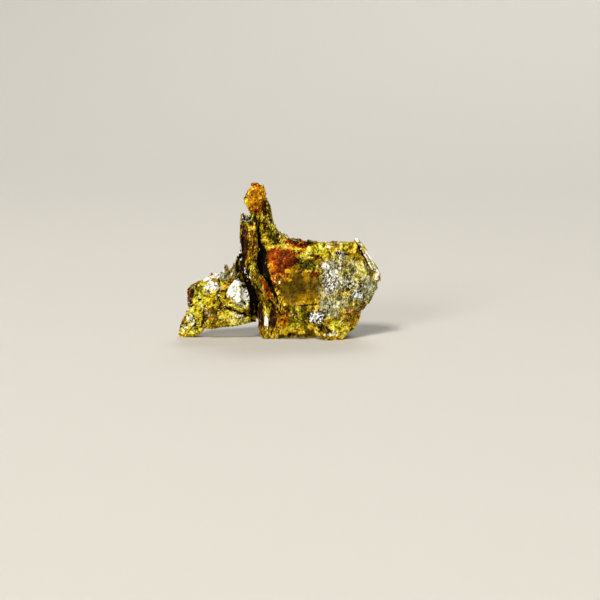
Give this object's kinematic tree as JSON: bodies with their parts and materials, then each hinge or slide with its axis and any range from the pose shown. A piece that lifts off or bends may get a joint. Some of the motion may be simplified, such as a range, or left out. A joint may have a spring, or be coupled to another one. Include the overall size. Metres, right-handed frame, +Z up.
{
  "type": "realgar with orpiment specimen",
  "caption": "Loose mineral specimen: golden, sheet-cleaving orpiment grown with orange-red realgar, with a fan-shaped wing, an upright spire and a broad pearly face.",
  "frame": {"origin": "on the flat broken base, at mid-length of the specimen, below the foot of the crevice between wing and main mass", "axes": "+X along the specimen from the wing's tail to the edge sheet, +Y back from the show face, +Z up"},
  "size_m": [0.0506, 0.0178, 0.0386],
  "materials": {
    "realgar_with_orpiment": "golden yellow, pearly to silvery on cleavage faces, orange-red and resinous where it is realgar"
  },
  "bodies": {
    "root": {"realgar_with_orpiment": "realgar_with_orpiment"}
  },
  "joints": []
}
